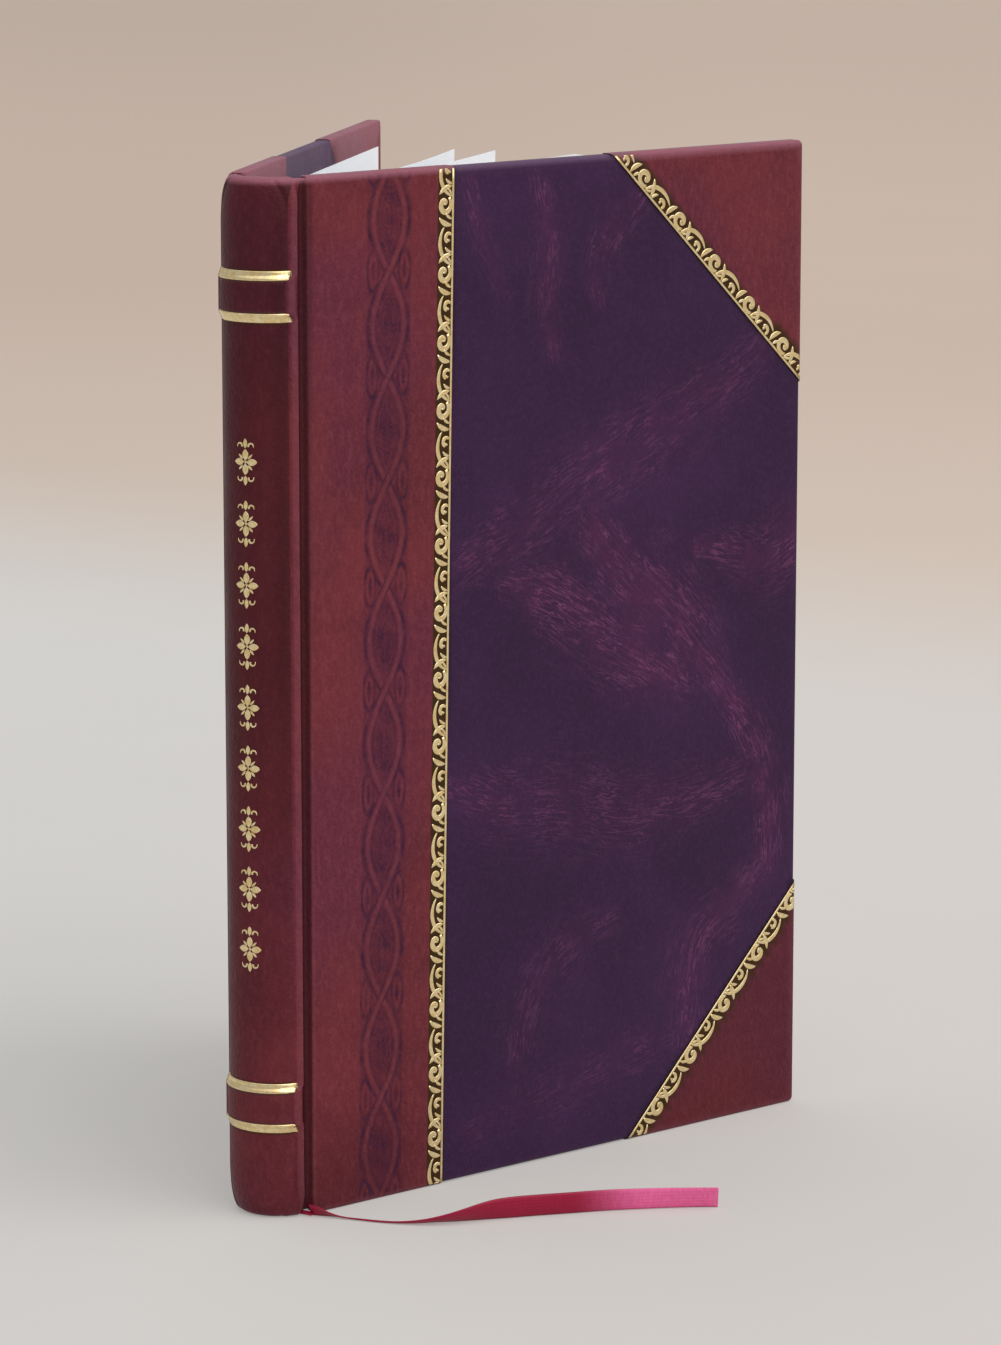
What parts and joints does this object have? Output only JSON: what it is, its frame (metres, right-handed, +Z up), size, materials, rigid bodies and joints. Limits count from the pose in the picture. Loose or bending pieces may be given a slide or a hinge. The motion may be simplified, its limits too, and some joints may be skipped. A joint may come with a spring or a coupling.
{
  "type": "leather bound book",
  "caption": "Book in a three-quarter leather binding, standing part open on its tail, with two hinged covers, gold rolls, raised spine bands and a satin ribbon marker.",
  "frame": {"origin": "middle of the footprint of the standing book, on the surface it stands on, the free ribbon left out", "axes": "+Z runs up the book from tail to head, +X from the spine along the pages to the fore edge, +Y from the front cover to the rear cover"},
  "size_m": [0.146, 0.1423, 0.222],
  "materials": {
    "red_leather": "smooth calf, semi-gloss",
    "purple_siding": "marbled dark purple leather, semi-gloss",
    "gold": "stamped gold foil",
    "paper": "uncoated book paper",
    "grey_board": "raw grey board",
    "card": "raw card",
    "lining_cloth": "open weave cotton mull",
    "headband_thread": "sewn silk band",
    "ribbon_satin": "satin ribbon"
  },
  "bodies": {
    "book_block": {"text_block": "paper", "front_flyleaf": "paper", "rear_flyleaf": "paper", "loose_leaf": "paper", "spine_lining": "lining_cloth", "headband": "headband_thread", "tailband": "headband_thread", "spine_inlay": "card", "head_raised_band": "card", "tail_raised_band": "card", "spine_leather": "red_leather", "spine_gold_lines": "gold", "spine_ornaments": "gold", "ribbon_marker": "ribbon_satin", "ribbon_end": "ribbon_satin"},
    "front_cover": {"front_board": "grey_board", "front_leather": "red_leather", "front_siding": "purple_siding", "front_head_corner": "red_leather", "front_tail_corner": "red_leather", "front_gold_roll": "gold", "front_head_roll": "gold", "front_tail_roll": "gold", "front_pastedown": "paper"},
    "rear_cover": {"rear_board": "grey_board", "rear_leather": "red_leather", "rear_siding": "purple_siding", "rear_head_corner": "red_leather", "rear_tail_corner": "red_leather", "rear_gold_roll": "gold", "rear_head_roll": "gold", "rear_tail_roll": "gold", "rear_pastedown": "paper"}
  },
  "joints": [
    {"name": "front_hinge", "type": "hinge", "parent": "book_block", "child": "front_cover", "pos_m": [-0.0637, -0.01106, 0.111], "axis": [0, 0, -1], "range_deg": [-19, 161], "deforming": ["ribbon_end"]},
    {"name": "rear_hinge", "type": "hinge", "parent": "book_block", "child": "rear_cover", "pos_m": [-0.0637, 0.00754, 0.111], "axis": [0, 0, 1], "range_deg": [-20.5, 159.5], "deforming": ["rear_flyleaf", "loose_leaf"]}
  ]
}
